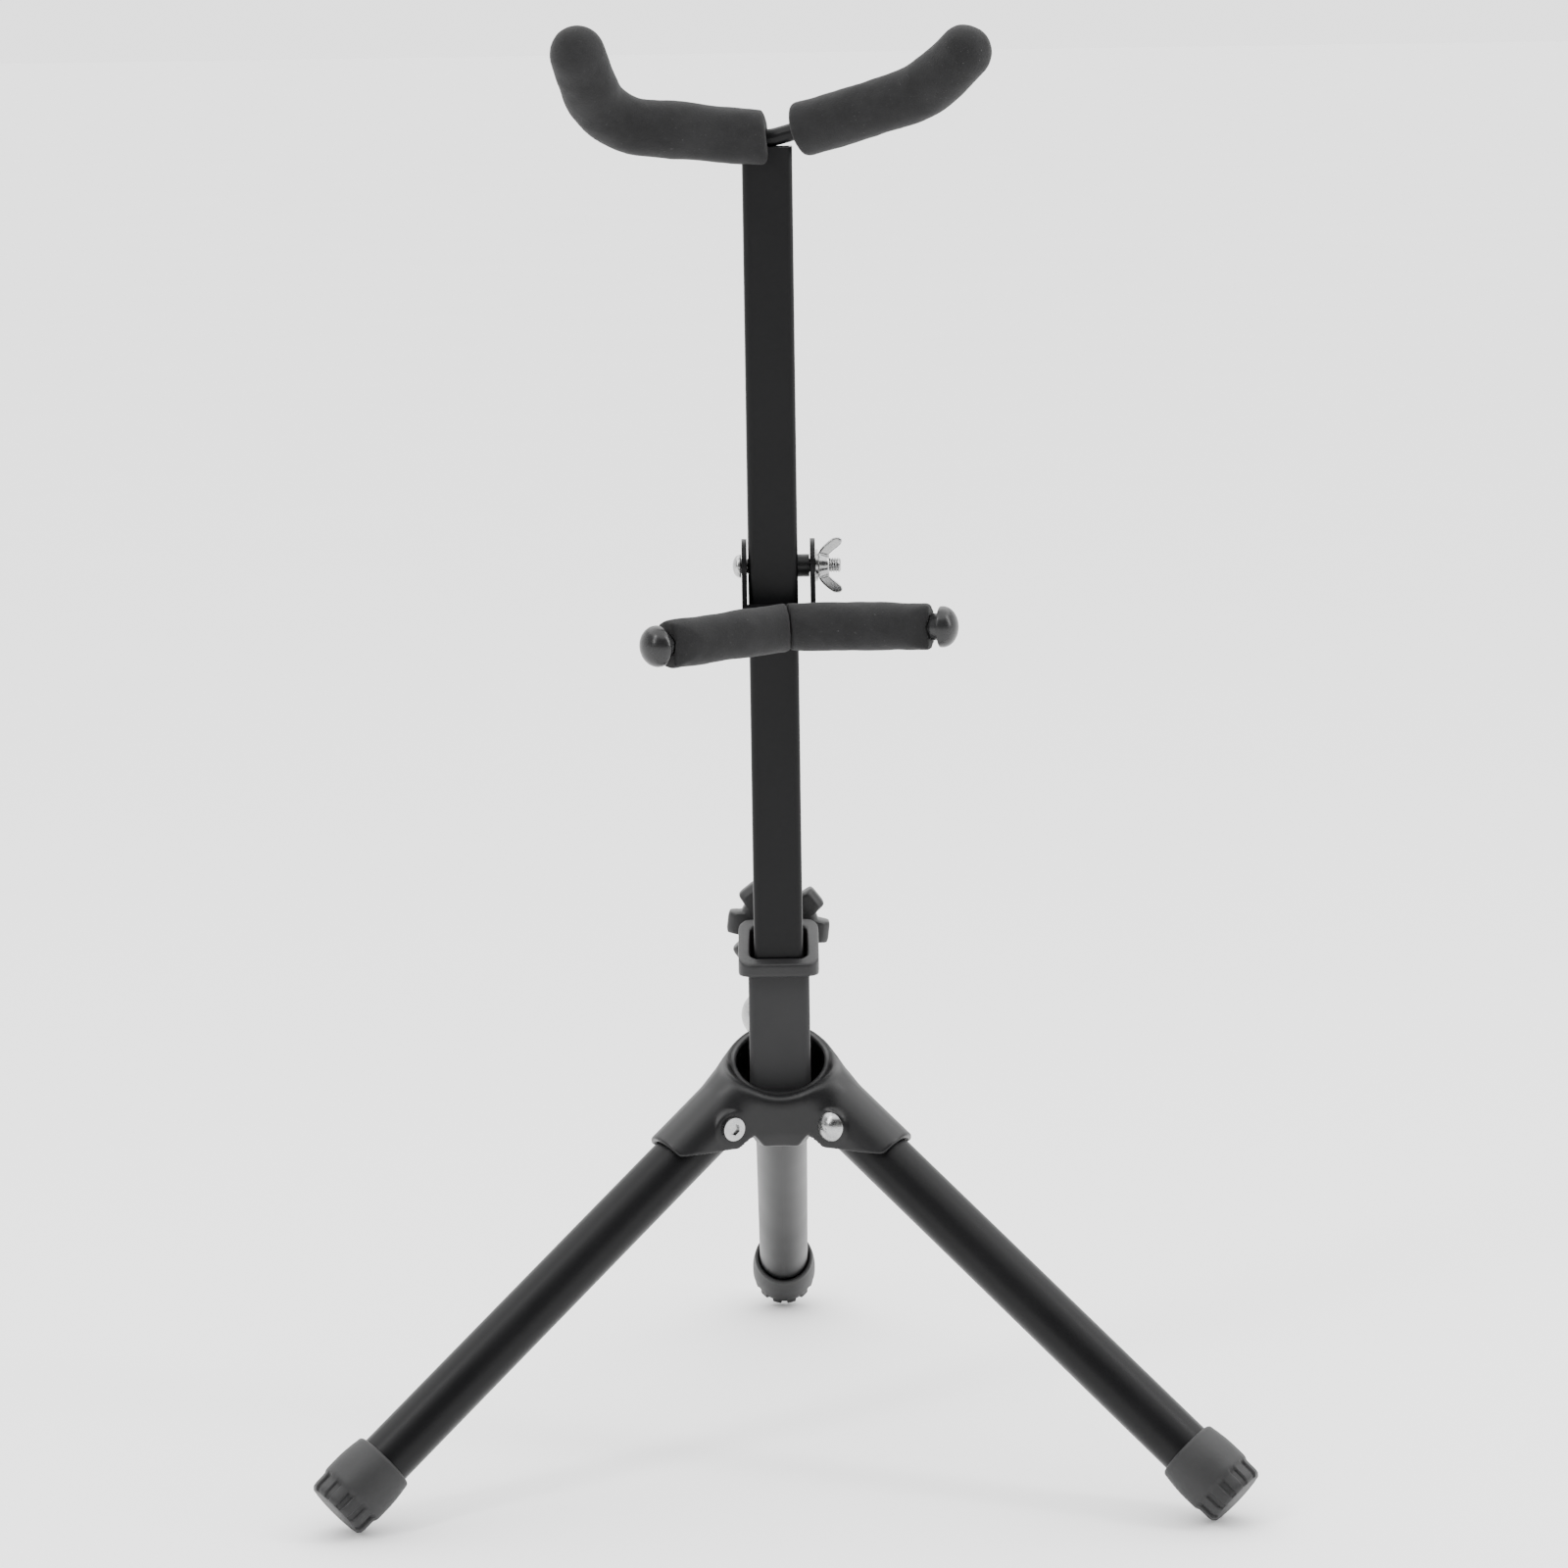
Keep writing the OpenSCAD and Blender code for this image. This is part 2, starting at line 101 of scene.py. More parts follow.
def noise_tex(nt, scale, detail=4.0, rough=0.6):
    n = node(nt, "ShaderNodeTexNoise", Scale=scale, Detail=detail, Roughness=rough)
    nt.links.new(coords(nt), n.inputs["Vector"])
    return n.outputs["Fac"]


def ramp(nt, fac, stops):
    r = node(nt, "ShaderNodeValToRGB")
    els = r.color_ramp.elements
    while len(els) < len(stops):
        els.new(0.5)
    for el, (p, c) in zip(els, stops):
        el.position = p
        el.color = (c, c, c, 1) if isinstance(c, (int, float)) else (*c, 1)
    nt.links.new(fac, r.inputs["Fac"])
    return r.outputs["Color"]


def maths(nt, op, a, b):
    n = node(nt, "ShaderNodeMath", operation=op)
    for i, v in enumerate((a, b)):
        if isinstance(v, (int, float)):
            n.inputs[i].default_value = v
        else:
            nt.links.new(v, n.inputs[i])
    return n.outputs[0]


def bump(nt, bsdf, height, dist, strength=1.0):
    b = node(nt, "ShaderNodeBump", Strength=strength, Distance=dist)
    nt.links.new(height, b.inputs["Height"])
    nt.links.new(b.outputs["Normal"], bsdf.inputs["Normal"])


def powder(name, tone, rough):
    m, nt, p = new_mat(name)
    big = noise_tex(nt, 18, 3)
    fine = noise_tex(nt, 1500, 3)
    c = ramp(nt, big, [(0.3, tuple(v * 0.86 for v in tone)), (0.7, tuple(v * 1.14 for v in tone))])
    nt.links.new(c, p.inputs["Base Color"])
    r = ramp(nt, big, [(0.25, rough - 0.04), (0.75, rough + 0.05)])
    nt.links.new(r, p.inputs["Roughness"])
    p.inputs["Specular IOR Level"].default_value = 0.14
    bump(nt, p, fine, 0.00006, 0.5)
    return m


def moulded(name, tone, rough, grain=900, depth=0.00012):
    m, nt, p = new_mat(name)
    big = noise_tex(nt, 30, 4)
    fine = noise_tex(nt, grain, 5, 0.65)
    c = ramp(nt, big, [(0.3, tuple(v * 0.85 for v in tone)), (0.72, tuple(v * 1.18 for v in tone))])
    nt.links.new(c, p.inputs["Base Color"])
    both = maths(nt, "ADD", maths(nt, "MULTIPLY", big, 0.14), maths(nt, "MULTIPLY", fine, 0.06))
    nt.links.new(maths(nt, "ADD", both, rough - 0.1), p.inputs["Roughness"])
    p.inputs["Specular IOR Level"].default_value = 0.3
    bump(nt, p, fine, depth, 0.5)
    return m


def foam_mat(name):
    m, nt, p = new_mat(name)
    cloud = noise_tex(nt, 45, 5, 0.7)
    speck = noise_tex(nt, 1350, 2, 0.5)
    patch = noise_tex(nt, 70, 3)
    base = ramp(nt, cloud, [(0.32, (0.0085, 0.0085, 0.0088)), (0.68, (0.016, 0.016, 0.0165))])
    # pale dust caught in the pores, in patches
    dust = maths(nt, "MULTIPLY", ramp(nt, speck, [(0.69, 0.0), (0.75, 1.0)]), ramp(nt, patch, [(0.42, 0.06), (0.62, 0.7)]))
    mix = node(nt, "ShaderNodeMix", data_type="RGBA")
    nt.links.new(dust, mix.inputs[0])
    nt.links.new(base, mix.inputs[6])
    mix.inputs[7].default_value = (0.085, 0.085, 0.085, 1)
    nt.links.new(mix.outputs[2], p.inputs["Base Color"])
    p.inputs["Roughness"].default_value = 0.93
    p.inputs["Specular IOR Level"].default_value = 0.25
    p.inputs["Sheen Weight"].default_value = 0.06
    p.inputs["Sheen Roughness"].default_value = 0.5
    vor = node(nt, "ShaderNodeTexVoronoi", Scale=1900.0)
    nt.links.new(coords(nt), vor.inputs["Vector"])
    cells = maths(nt, "ADD", vor.outputs["Distance"], maths(nt, "MULTIPLY", speck, 0.8))
    bump(nt, p, cells, 0.00016, 0.6)
    return m


def zinc_mat(name):
    m, nt, p = new_mat(name)
    spangle = noise_tex(nt, 420, 3)
    fine = noise_tex(nt, 2600, 2)
    c = ramp(nt, spangle, [(0.3, (0.3, 0.303, 0.31)), (0.7, (0.42, 0.42, 0.412))])
    nt.links.new(c, p.inputs["Base Color"])
    nt.links.new(ramp(nt, spangle, [(0.3, 0.22), (0.7, 0.32)]), p.inputs["Roughness"])
    p.inputs["Metallic"].default_value = 1.0
    bump(nt, p, fine, 0.00004, 0.4)
    return m


POWDER = powder("powder_black_satin", (0.0055, 0.0055, 0.0059), 0.36)
# a lighter copy of the same black powder coat for the outer tube: painted light, standing in for the white floor
# reflected in its downward-facing faces
POWDER_PAINTED_FLOOR_LIGHT = powder("powder_black_painted_floor_light", (0.024, 0.024, 0.0248), 0.48)
HUB = moulded("nylon_satin_black", (0.006, 0.006, 0.0064), 0.38, 1100, 0.00006)
PLASTIC = moulded("plastic_black", (0.013, 0.013, 0.0135), 0.42)
CAPMAT = moulded("cap_plastic_black", (0.014, 0.014, 0.0145), 0.28, 700, 0.00005)
RUBBER = moulded("rubber_black", (0.019, 0.019, 0.0195), 0.55, 600, 0.0002)
FOAM = foam_mat("foam_charcoal")
ZINC = zinc_mat("zinc_bright")

LOOK = {"zinc": ZINC, "powder_black": POWDER, "hub_black": HUB, "plastic_black": PLASTIC, "foam_black": FOAM, "rubber_black": RUBBER}
SLOT = {s["node"]: s["material_slot"] for s in frame["record"]["subparts"]}
for name, o in frame["nodes"].items():
    mat = LOOK[SLOT[name]]
    # the outer tube takes the lighter copy of the black powder coat, which is painted reflected floor light
    if name == "outer_tube":
        mat = POWDER_PAINTED_FLOOR_LIGHT
    if not o.material_slots:
        o.data.materials.append(mat)
    for s in o.material_slots:
        s.material = mat


# ---------------------------------------------------------------- mesh helpers
def obj_from(name, verts_mm, faces, mat, matrix=None, shift=True):
    """New object from millimetre points in the column's axes."""
    vs = np.asarray(verts_mm, float)
    if matrix is not None:
        m = np.array(matrix)
        vs = vs @ m[:3, :3].T + m[:3, 3]
    if shift:
        vs = vs + np.array([0, Y0, 0])
    me = bpy.data.meshes.new(name)
    me.from_pydata((vs * MM).tolist(), [], faces)
    me.validate()
    me.materials.append(mat)
    o = bpy.data.objects.new(name, me)
    bpy.context.scene.collection.objects.link(o)
    fix_normals(o)
    return o


def fix_normals(o, weld=0.0):
    bm = bmesh.new()
    bm.from_mesh(o.data)
    if weld:
        bmesh.ops.remove_doubles(bm, verts=bm.verts, dist=weld)
    bmesh.ops.recalc_face_normals(bm, faces=bm.faces)
    for f in bm.faces:
        f.smooth = True
    bm.to_mesh(o.data)
    bm.free()


def sharp_by_angle(o, deg=35):
    bm = bmesh.new()
    bm.from_mesh(o.data)
    lim = math.radians(deg)
    for e in bm.edges:
        e.smooth = not (len(e.link_faces) == 2 and e.calc_face_angle(0) > lim)
    bm.to_mesh(o.data)
    bm.free()


def modify(o, kind, **kw):
    m = o.modifiers.new("m", kind)
    for k, v in kw.items():
        setattr(m, k, v)
    dg = bpy.context.evaluated_depsgraph_get()
    me = bpy.data.meshes.new_from_object(o.evaluated_get(dg))
    o.modifiers.remove(m)
    old = o.data
    o.data = me
    bpy.data.meshes.remove(old)


def copy_of(name, cad, mat):
    src = frame["nodes"][cad]
    me = src.data.copy()
    o = bpy.data.objects.new(name, me)
    bpy.context.scene.collection.objects.link(o)
    me.materials.clear()
    me.materials.append(mat)
    if me.has_custom_normals:
        bpy.context.view_layer.objects.active = o
        o.select_set(True)
        bpy.ops.mesh.customdata_custom_splitnormals_clear()
        o.select_set(False)
    fix_normals(o, 1e-6)
    return o


def points(o):
    co = np.empty(len(o.data.vertices) * 3)
    o.data.vertices.foreach_get("co", co)
    return co.reshape(-1, 3)


def set_points(o, co):
    o.data.vertices.foreach_set("co", np.asarray(co, float).ravel())
    o.data.update()


def neighbours(o):
    e = np.empty(len(o.data.edges) * 2, int)
    o.data.edges.foreach_get("vertices", e)
    return e.reshape(-1, 2)


def smooth_pts(co, edges, times, amount=0.5, weight=None):
    n = len(co)
    cnt = np.zeros(n)
    np.add.at(cnt, edges[:, 0], 1)
    np.add.at(cnt, edges[:, 1], 1)
    for _ in range(times):
        s = np.zeros_like(co)
        np.add.at(s, edges[:, 0], co[edges[:, 1]])
        np.add.at(s, edges[:, 1], co[edges[:, 0]])
        d = s / np.maximum(cnt, 1)[:, None] - co
        co = co + d * (amount if weight is None else amount * weight[:, None])
    return co


def done(o, body, replaces):
    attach(o, body)
    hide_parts(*replaces)
    return o


def revolve(profile, sides, radius_of=None):
    """Closed lathe about local +Z from a list of (r, z). A radius of 0 closes on the axis."""
    vs, fs, rows = [], [], []
    for k, (r, z) in enumerate(profile):
        if r < 1e-6:
            vs.append((0, 0, z))
            rows.append([len(vs) - 1] * sides)
            continue
        row = []
        for i in range(sides):
            t = 2 * math.pi * i / sides
            rr = r if radius_of is None else radius_of(k, r, z, t)
            vs.append((rr * math.cos(t), rr * math.sin(t), z))
            row.append(len(vs) - 1)
        rows.append(row)
    for a, b in zip(rows, rows[1:]):
        for i in range(sides):
            j = (i + 1) % sides
            q = []
            for v in (a[i], a[j], b[j], b[i]):
                if v not in q:
                    q.append(v)
            if len(q) > 2:
                fs.append(q)
    return vs, fs


def arc(cx, cz, r, a0, a1, n):
    return [(cx + r * math.cos(math.radians(a0 + (a1 - a0) * i / n)), cz + r * math.sin(math.radians(a0 + (a1 - a0) * i / n)))
            for i in range(n + 1)]


# ---------------------------------------------------------------- hub: one soft moulding
def smin(a, b, k):
    h = np.clip(0.5 + 0.5 * (b - a) / k, 0, 1)
    return b * (1 - h) + a * h - k * h * (1 - h)


def smax(a, b, k):
    return -smin(-a, -b, k)


def rods(p, a):
    m = np.array(on_leg(a).inverted())
    return p @ m[:3, :3].T + m[:3, 3]


NECK_MID, NECK_SLOPE = PIN_Z + 22.4, math.radians(27)


def hub_sdf(p, part="all"):
    rad = np.hypot(p[:, 0], p[:, 1])
    low = PIN_Z - 9
    # the rim's sloping plane; beyond the neck the sockets may rise above it in a soft dish
    rim = NECK_MID + p[:, 1] * math.tan(NECK_SLOPE)
    cap = (p[:, 2] - rim) * math.cos(NECK_SLOPE)
    dish = (p[:, 2] - rim - 1.2 * np.maximum(rad - 20.5, 0)) * 0.64
    neck = smax(rad - 22.0, cap, 2.6)
    neck = smax(neck, PIN_Z - p[:, 2], 1.0)
    web = smax(rad - 24.5, np.maximum(p[:, 2] - (PIN_Z + 11.0), low - p[:, 2]), 6.0)
    d = smin(web, neck, 9.0)
    cuts = np.full(len(p), 1e9)
    for a in LEGS.values():
        q = rods(p, a)
        shell = np.where(q[:, 2] > 0, np.hypot(q[:, 1], q[:, 2]), np.abs(q[:, 1])) - 14.0
        shell = smax(shell, -15.9 - q[:, 2], 1.0)
        tube = smax(shell, q[:, 0] - S_MOUTH, 1.0)
        tube = smax(tube, 12.0 - q[:, 0], 3.0)
        d = smin(d, tube, 10.0)
        start = (S_PIN - 12.4) - q[:, 0]
        room = np.maximum(np.hypot(q[:, 1], q[:, 2]) - 11.5, start)
        slot_ = np.maximum(np.maximum(np.abs(q[:, 1]) - 11.5, q[:, 2]), start)
        under = np.maximum(np.maximum(np.abs(q[:, 1]) - 20, q[:, 2] + 9), (S_PIN - 5) - q[:, 0])
        pin = np.hypot(q[:, 0] - S_PIN, q[:, 2]) - 3.0
        dot = np.hypot(q[:, 0] - (S_MOUTH - 5), q[:, 2] + 5.6) - 1.1
        cuts = np.minimum.reduce([cuts, room, slot_, under, pin, dot])
        # small flat seats under the bolt head and the nut
        seat = smax(np.hypot(q[:, 0] - S_PIN, q[:, 2]) - 7.0, np.abs(q[:, 1]) - 13.9, 0.6)
        d = smin(d, np.maximum(seat, 11.5 - np.abs(q[:, 1])), 1.5)
    d = smax(d, dish, 4.0)
    bore = rad - 18.0
    if part == "outer":
        return smax(d, low - p[:, 2], 0.8)
    if part == "cuts":
        return np.minimum(cuts, bore)
    d = smax(d, -bore, 0.9)
    d = smax(d, -cuts, 0.5)
    d = smax(d, low - p[:, 2], 0.8)
    return d


def make_hub():
    o = copy_of("hub_moulding", "hub", HUB)
    modify(o, "REMESH", mode="VOXEL", voxel_size=0.00075)
    co = points(o) / MM - np.array([0, Y0, 0])
    edges = neighbours(o)
    saddle = (np.hypot(co[:, 0], co[:, 1]) < 17.6)
    # faces well away from the hollows follow the outer skin first, and all follow the whole shape last
    skin = (hub_sdf(co, "cuts") > 0.8) & ~saddle
    h = 0.05
    eye = np.eye(3) * h
    for it in range(20):
        out = skin if it < 13 else np.zeros(len(co), bool)
        step_vec = np.zeros_like(co)
        for who, part in ((out, "outer"), (~out & ~saddle, "all")):
            if not who.any():
                continue
            q = co[who]
            d = hub_sdf(q, part)
            g = np.stack([hub_sdf(q + eye[i], part) - hub_sdf(q - eye[i], part) for i in range(3)], 1) / (2 * h)
            ln = np.maximum((g * g).sum(1), 0.05)
            step_vec[who] = g * np.clip(d / ln, -1.2, 1.2)[:, None]
        co = co - step_vec
        if it < 17:
            co = smooth_pts(co, edges, 1, 0.4, np.where(saddle, 0.0, 1.0))
    set_points(o, (co + np.array([0, Y0, 0])) * MM)
    fix_normals(o)
    return done(o, "base", ["hub"])


make_hub()


# ---------------------------------------------------------------- foam sleeves
def fbm(v, octaves=3):
    s, a = 0.0, 1.0
    for _ in range(octaves):
        s += a * noise.noise(v)
        v = v * 2.03 + Vector((17.1, 3.7, 9.2))
        a *= 0.5
    return s


def make_foam(name, cad, body, seed, swell=0.55):
    o = copy_of(name, cad, FOAM)
    modify(o, "REMESH", mode="VOXEL", voxel_size=0.0009)
    edges = neighbours(o)
    co = smooth_pts(points(o), edges, 6, 0.5)
    set_points(o, co)
    o.data.update()
    nrm = np.empty(len(co) * 3)
    o.data.vertices.foreach_get("normal", nrm)
    nrm = nrm.reshape(-1, 3)
    off = Vector((seed * 3.17, seed * 1.71, seed * 0.53))
    out = np.empty(len(co))
    for i, c in enumerate(co):
        v = Vector(c)
        out[i] = swell * (fbm(v * 34 + off, 3)) + 0.09 * noise.noise(v * 260 + off) - 0.05
    co = co + nrm * (out[:, None] * MM)
    set_points(o, co)
    fix_normals(o)
    return done(o, body, [cad])


make_foam("yoke_foam_left", "yoke_sleeve_left", "column", 1, 0.9)
make_foam("yoke_foam_right", "yoke_sleeve_right", "column", 2, 0.9)
make_foam("rest_foam_left", "rest_sleeve_left", "body_rest", 3, 0.8)
make_foam("rest_foam_right", "rest_sleeve_right", "body_rest", 4, 0.8)


# ---------------------------------------------------------------- rubber feet
def make_foot(side, a):
    sides = 288
    # local +Z runs back up the leg from its end
    prof = [(0, 0.0), (9.5, 0.0), (12.2, 0.35), (13.3, 1.5), (13.6, 3.0), (13.62, 6.6), (13.75, 8.2), (14.15, 9.0),
            (14.33, 10.2), (14.36, 13.5), (14.34, 17.0), (14.1, 20.5), (13.75, 23.5), (13.42, 25.6), (13.3, 26.6),
            (13.05, 27.4), (12.5, 27.85), (11.9, 27.8), (11.45, 27.3), (11.1, 26.3), (11.02, 24.0), (11.02, 6.0), (0, 6.0)]
    fine = []
    for (r0, z0), (r1, z1) in zip(prof, prof[1:]):
        n = max(1, int(math.hypot(r1 - r0, z1 - z0) / 0.55)) if z0 < 10.3 and r0 > 11.6 else 2
        fine += [(r0 + (r1 - r0) * k / n, z0 + (z1 - z0) * k / n) for k in range(n)]
    fine.append(prof[-1])

    def rad(k, r, z, t):
        if r < 11.6 or z > 8.9 or (z > 5 and r < 12):
            return r
        u = abs(((t / (2 * math.pi) * 12 + 0.5) % 1) - 0.5) * 2          # 0 in the middle of a groove
        w = max(0.0, min(1.0, (0.46 - u) / 0.14))
        w = w * w * (3 - 2 * w)
        f = min(1.0, max(0.0, (8.7 - z) / 0.8)) * min(1.0, max(0.0, (r - 11.6) / 1.2))
        return r - 1.05 * w * f
    vs, fs = revolve(fine, sides, rad)
    m = on_leg(a) @ Matrix.Translation((S_END, 0, 0)) @ Matrix.Rotation(math.radians(-90), 4, "Y")
    vs = np.array(vs) @ np.array(m)[:3, :3].T + np.array(m)[:3, 3]
    vs[:, 2] = np.maximum(vs[:, 2], 0)       # the worn flat
    o = obj_from("foot_" + side, vs, fs, RUBBER)
    sharp_by_angle(o, 50)
    return done(o, "leg_" + side, ["leg_%s_foot" % side])


for side, a in LEGS.items():
    make_foot(side, a)


# ---------------------------------------------------------------- clamp knob
def make_knob():
    sides = 360
    h = KNOB_Y1 - KNOB_Y0
    prof = [(3.1, 0.2), (6.9, 0.0), (7.4, 0.5), (7.5, 2.6)]
    n_boss = len(prof)
    prof += [(9.0, 3.0), (13.0, 3.0), (17.0, 3.0), (18.9, 3.05), (19.5, 3.3), (21.2, 5.0), (21.75, 5.9), (21.85, 7.0), (21.9, 8.5), (21.85, 10.0),
             (21.75, 11.1), (21.2, 12.0), (19.5, 13.7), (18.9, 13.95), (17.0, 14.0), (13.0, 14.0), (9.5, 14.1), (8.2, 14.4), (7.3, 15.3), (6.4, 15.85), (5.0, h), (0, h)]

    def rad(k, r, z, t):
        if r < 8.5:
            return r
        c = (t - math.radians(7)) / (2 * math.pi) * 8
        u = abs((c + 0.5) % 1 - 0.5) * 2          # 0 on a lobe, 1 between lobes
        w = max(0.0, min(1.0, (u - 0.5) / 0.34))
        w = w * w * (3 - 2 * w)
        # lobes are nearly flat across their ends
        half = math.pi / 8 * 0.6
        flat = math.cos(half) / math.cos(min(u / 0.6, 1.0) * half) * (1 - 0.035 * max(0.0, u - 0.25) ** 2 * 8)
        return min(r, r * flat * (1 - w) + w * (8.5 + (r - 8.5) * 0.62))
    vs, fs = revolve(prof, sides, rad)
    # bore for the screw
    base = [(3.1, 0.2), (3.0, 9.0), (0, 9.0)]
    vs2, fs2 = revolve(base, sides)
    off = len(vs)
    vs = list(vs) + list(vs2)
    fs = list(fs) + [[i + off for i in f] for f in fs2]
    m = Matrix.Translation((0, KNOB_Y0, KNOB_Z)) @ Matrix.Rotation(math.radians(-90), 4, "X")
    o = obj_from("knob_moulding", vs, fs, PLASTIC, m)
    fix_normals(o, 1e-6)
    sharp_by_angle(o, 40)
    return done(o, "knob", ["clamp_knob"])


make_knob()


# ---------------------------------------------------------------- collar: soft edged moulding
def make_soft(name, cad, body, mat, voxel, times, grow=0.0):
    o = copy_of(name, cad, mat)
    modify(o, "REMESH", mode="VOXEL", voxel_size=voxel)
    co = smooth_pts(points(o), neighbours(o), times, 0.5)
    set_points(o, co)
    fix_normals(o)
    return done(o, body, [cad])


make_soft("collar_moulding", "collar", "base", PLASTIC, 0.00045, 9)


# ---------------------------------------------------------------- end caps of the rest
def make_cap(side, sign):
    src = frame["nodes"]["rest_cap_" + side]
    pts = np.array([v.co for v in src.data.vertices]) / MM - np.array([0, Y0, 0])
    # the cap's axis, as the CAD places it
    fr_ = Matrix.Translation((5.3, -24, PIVOT_Z - 21.6)) @ Matrix.Rotation(math.radians(-1.5), 4, "Y") @ Matrix.Rotation(math.pi, 4, "X")
    m = fr_ @ Matrix.Rotation(math.radians(15 if side == "right" else 143), 4, "Z") @ Matrix.Translation((59.4, 0, 0)) @ Matrix.Rotation(math.pi / 2, 4, "Y")
    prof = [(0, 2.6), (4.0, 2.6), (4.0, 0.25), (4.25, 0.0), (5.15, 0.0), (5.4, 0.25), (5.4, 2.9), (5.6, 3.15), (7.5, 3.2)]
    prof += arc(7.7, 3.75, 0.5, -90, 0, 5)[1:]
    prof += [(8.2 * math.cos(t), 4.4 + 6.2 * math.sin(t)) for t in np.linspace(0.02, math.pi / 2, 26)]
    prof[-1] = (0, 10.6)
    vs, fs = revolve(prof, 96)
    o = obj_from("rest_end_" + side, vs, fs, CAPMAT, m)
    sharp_by_angle(o, 50)
    got = points(o).mean(0) / MM
    want = (pts.min(0) + pts.max(0)) / 2 + np.array([0, Y0, 0])
    print("cap", side, "off by", np.round(got - want, 2))
    return done(o, "body_rest", ["rest_cap_" + side])


make_cap("left", -1)
make_cap("right", 1)


# ---------------------------------------------------------------- pivot bolt, wing nut, screws
def thread_radius(x, t, pitch, r, depth):
    u = (x / pitch - t / (2 * math.pi)) % 1
    tri = 1 - abs(u - 0.5) * 2
    tri = max(0.0, min(1.0, (tri - 0.12) / 0.72))
    return r - depth * (1 - tri)


def threaded(profile_start, x0, x1, end, r, pitch, depth, sides=64, step=0.14):
    """Lathe about +Z: profile_start, then a thread from x0 to x1, then a chamfered end."""
    n = int((x1 - x0) / step)
    prof = list(profile_start) + [(r, x0 + (x1 - x0) * k / n) for k in range(n + 1)] + list(end)
    a, b = len(profile_start), len(profile_start) + n

    def rad(k, rr, z, t):
        if a <= k <= b:
            f = min(1.0, (z - x0) / 1.0, (x1 - z) / 0.4 + 0.2)
            return r - (r - thread_radius(z, t, pitch, r, depth)) * max(0.0, f)
        return rr
    return revolve(prof, sides, rad)


def make_bolt():
    x_head = -12.9
    m = Matrix.Translation((x_head, 0, PIVOT_Z)) @ Matrix.Rotation(math.pi / 2, 4, "Y")
    head = [(0, -3.4)] + [(4.55 * math.sin(t), -3.4 + 2.6 * (1 - math.cos(t))) for t in np.linspace(0.12, math.pi / 2, 14)]
    head += [(4.72, -0.75), (4.75, -0.3), (4.6, -0.02), (3.0, 0.0), (2.98, 0.1), (2.98, 24.0)]
    end_z = BOLT_TIP - x_head
    vs, fs = threaded(head, 24.2, end_z - 0.7, [(2.5, end_z - 0.25), (2.2, end_z), (0, end_z)], 2.97, 1.0, 0.55)
    o = obj_from("pivot_bolt_threaded", vs, fs, ZINC, m)
    sharp_by_angle(o, 60)
    return done(o, "column", ["pivot_bolt"])


make_bolt()


def make_wing_nut():
    bm = bmesh.new()
    # boss: a tapered cone with a bore
    vs, fs = revolve([(3.05, 0.0), (4.7, 0.0), (5.0, 0.35), (4.9, 1.2), (4.3, 3.9), (4.0, 4.5), (3.6, 4.6), (3.05, 4.6), (3.05, 0.0)], 72)
    bv = [bm.verts.new(v) for v in vs]
    for f in fs:
        try:
            bm.faces.new([bv[i] for i in f])
        except ValueError:
            pass
    bmesh.ops.remove_doubles(bm, verts=bm.verts, dist=1e-5)
    # wings: local z is the bolt axis, local y the wing's reach
    out = [(3.0, 0.1), (4.9, 0.15), (6.2, 0.9), (7.9, 2.3), (9.6, 4.2), (10.9, 6.0), (11.3, 7.3), (11.2, 8.7), (10.6, 9.6), (9.6, 9.8),
           (8.5, 9.3), (7.3, 8.0), (6.0, 6.2), (4.7, 4.7), (3.0, 4.0)]
    for s in (1, -1):
        rings = []
        for x in (-1.35, 1.35):
            rings.append([bm.verts.new((x, s * y, z)) for y, z in out])
        n = len(out)
        bm.faces.new(rings[0])
        bm.faces.new(rings[1][::-1])
        for i in range(n):
            j = (i + 1) % n
            bm.faces.new([rings[0][i], rings[0][j], rings[1][j], rings[1][i]])
    bmesh.ops.recalc_face_normals(bm, faces=bm.faces)
    # local z to +X, local y to +Z
    M = Matrix(((0, 0, 1), (1, 0, 0), (0, 1, 0))).to_4x4()
    bm.transform(M)
    bm.transform(Matrix.Translation((18.2, 0, PIVOT_Z)))
    bm.transform(Matrix.Translation((0, Y0, 0)))
    bm.transform(Matrix.Scale(MM, 4))
    me = bpy.data.meshes.new("wing_nut_cast")
    bm.to_mesh(me)
    bm.free()
    me.materials.append(ZINC)
    o = bpy.data.objects.new("wing_nut_cast", me)
    bpy.context.scene.collection.objects.link(o)
    modify(o, "REMESH", mode="VOXEL", voxel_size=0.00018)
    co = smooth_pts(points(o), neighbours(o), 14, 0.5)
    for i, c in enumerate(co):
        co[i] = c
    set_points(o, co)
    fix_normals(o)
    return done(o, "wing", ["wing_nut"])


make_wing_nut()


def make_screw():
    b0, b1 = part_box("clamp_screw")
    y0, y1 = b0.y / MM - Y0, b1.y / MM - Y0
    m = Matrix.Translation((0, y0, KNOB_Z)) @ Matrix.Rotation(math.radians(-90), 4, "X")
    ln = y1 - y0
    vs, fs = threaded([(0, 0), (2.3, 0.0), (2.6, 0.35)], 0.5, ln - 0.8, [(2.5, ln - 0.2), (0, ln)], 2.93, 1.0, 0.5)
    o = obj_from("clamp_screw_threaded", vs, fs, ZINC, m)
    sharp_by_angle(o, 60)
    return done(o, "knob", ["clamp_screw"])


make_screw()

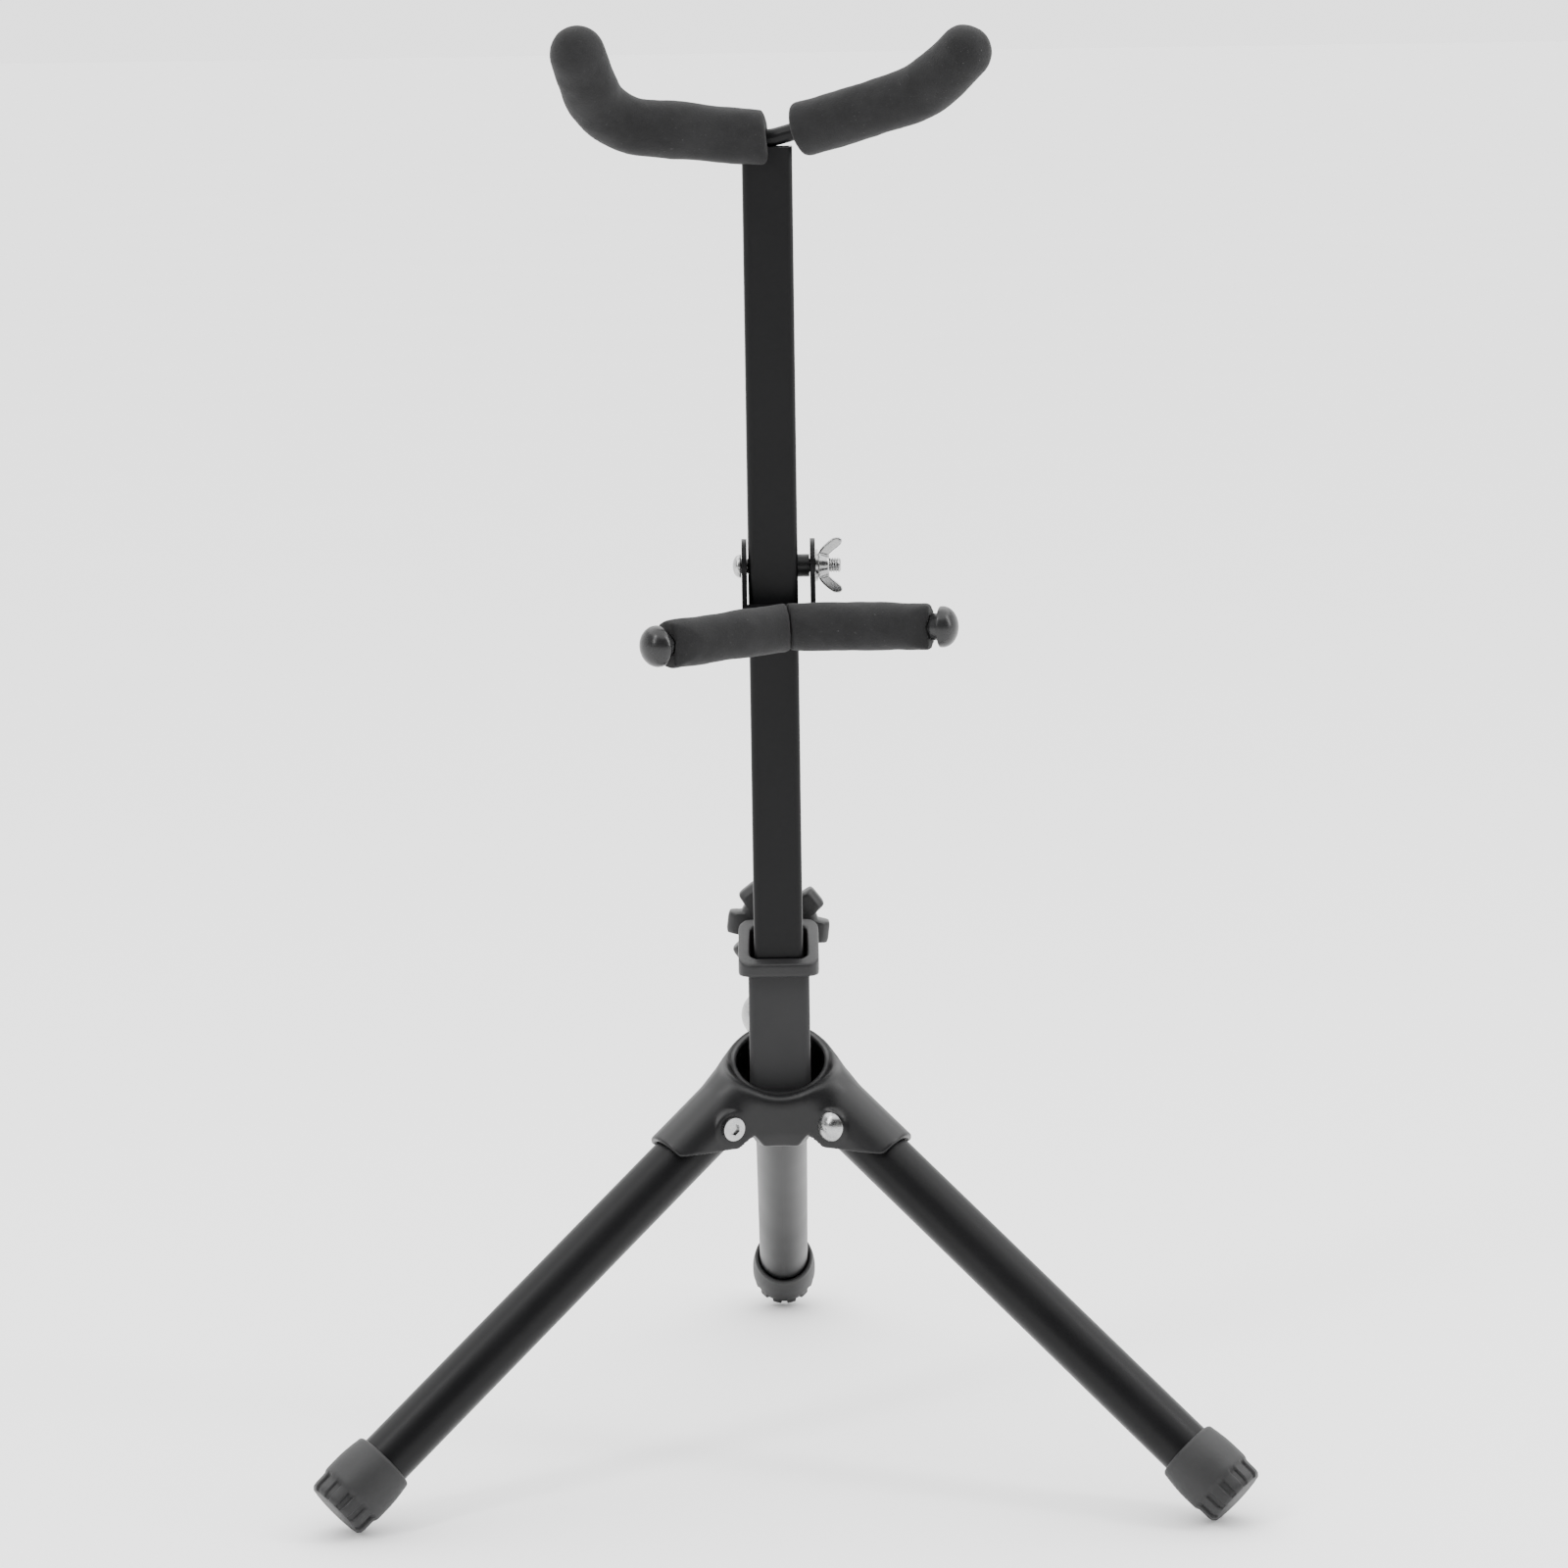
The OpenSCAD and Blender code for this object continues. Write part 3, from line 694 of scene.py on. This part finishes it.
# ---------------------------------------------------------------- stage, light, camera
bpy.ops.mesh.primitive_plane_add(size=400, location=(0, 0, -0.0004))
floor = bpy.context.object
floor.name = "floor"
fm, nt, p = new_mat("floor_pale")
c = ramp(nt, noise_tex(nt, 3, 2), [(0.3, (0.93, 0.93, 0.93)), (0.7, (0.94, 0.94, 0.94))])
nt.links.new(c, p.inputs["Base Color"])
p.inputs["Roughness"].default_value = 0.9
p.inputs["Specular IOR Level"].default_value = 0.1
floor.data.materials.append(fm)

# a studio that is bright behind and beside the object and dim in front of it and overhead
world = bpy.data.worlds.new("studio")
bpy.context.scene.world = world
world.use_nodes = True
wn = world.node_tree
bg = wn.nodes["Background"]
tc = wn.nodes.new("ShaderNodeTexCoord")
sep = wn.nodes.new("ShaderNodeSeparateXYZ")
wn.links.new(tc.outputs["Generated"], sep.inputs[0])


def span(out, a0, a1, b0, b1):
    m = wn.nodes.new("ShaderNodeMapRange")
    m.interpolation_type = "SMOOTHSTEP"
    for k, v in zip(("From Min", "From Max", "To Min", "To Max"), (a0, a1, b0, b1)):
        m.inputs[k].default_value = v
    wn.links.new(out, m.inputs["Value"])
    return m.outputs["Result"]


mul = wn.nodes.new("ShaderNodeMath")
mul.operation = "MULTIPLY"
wn.links.new(span(sep.outputs["Y"], -0.6, 0.45, 0.04, 2.3), mul.inputs[0])
wn.links.new(span(sep.outputs["Z"], 0.25, 0.85, 1.0, 0.35), mul.inputs[1])
wn.links.new(mul.outputs[0], bg.inputs[1])
bg.inputs[0].default_value = (1, 1, 1, 1)


def area(name, loc, target, size, size_y, power):
    li = bpy.data.lights.new(name, "AREA")
    li.shape = "RECTANGLE"
    li.size, li.size_y, li.energy = size, size_y, power
    ob = bpy.data.objects.new(name, li)
    bpy.context.scene.collection.objects.link(ob)
    ob.location = loc
    ob.rotation_euler = (Vector(target) - Vector(loc)).to_track_quat("-Z", "Y").to_euler()
    return ob


area("key_left", (-1.3, -1.2, 1.5), (0, 0, 0.3), 0.3, 1.6, 24)
area("fill_right", (1.5, -0.5, 1.2), (0, 0, 0.3), 0.3, 1.5, 20)
sun = bpy.data.lights.new("overhead", "SUN")
sun.energy = 6.0
sun.angle = math.radians(100)
so = bpy.data.objects.new("overhead", sun)
so.rotation_euler = (math.radians(-8), 0, 0)
bpy.context.scene.collection.objects.link(so)

cam_data = bpy.data.cameras.new("camera")
cam = bpy.data.objects.new("camera", cam_data)
bpy.context.scene.collection.objects.link(cam)
cam_data.sensor_width = 36
cam_data.lens = 99.0
cam_data.clip_start, cam_data.clip_end = 0.05, 50
pd, rd = math.radians(10.30), math.radians(0.82)
right = Vector((1, 0, 0))
fwd = Vector((0, math.cos(pd), -math.sin(pd)))
up = Vector((0, math.sin(pd), math.cos(pd)))
X = math.cos(rd) * right - math.sin(rd) * up
Y = math.sin(rd) * right + math.cos(rd) * up
rot = Matrix((X, Y, -fwd)).transposed()
cam.matrix_world = Matrix.Translation((0.0032, -1.729 + Y0 * MM, 0.595)) @ rot.to_4x4()
bpy.context.scene.camera = cam

bpy.context.view_layer.update()
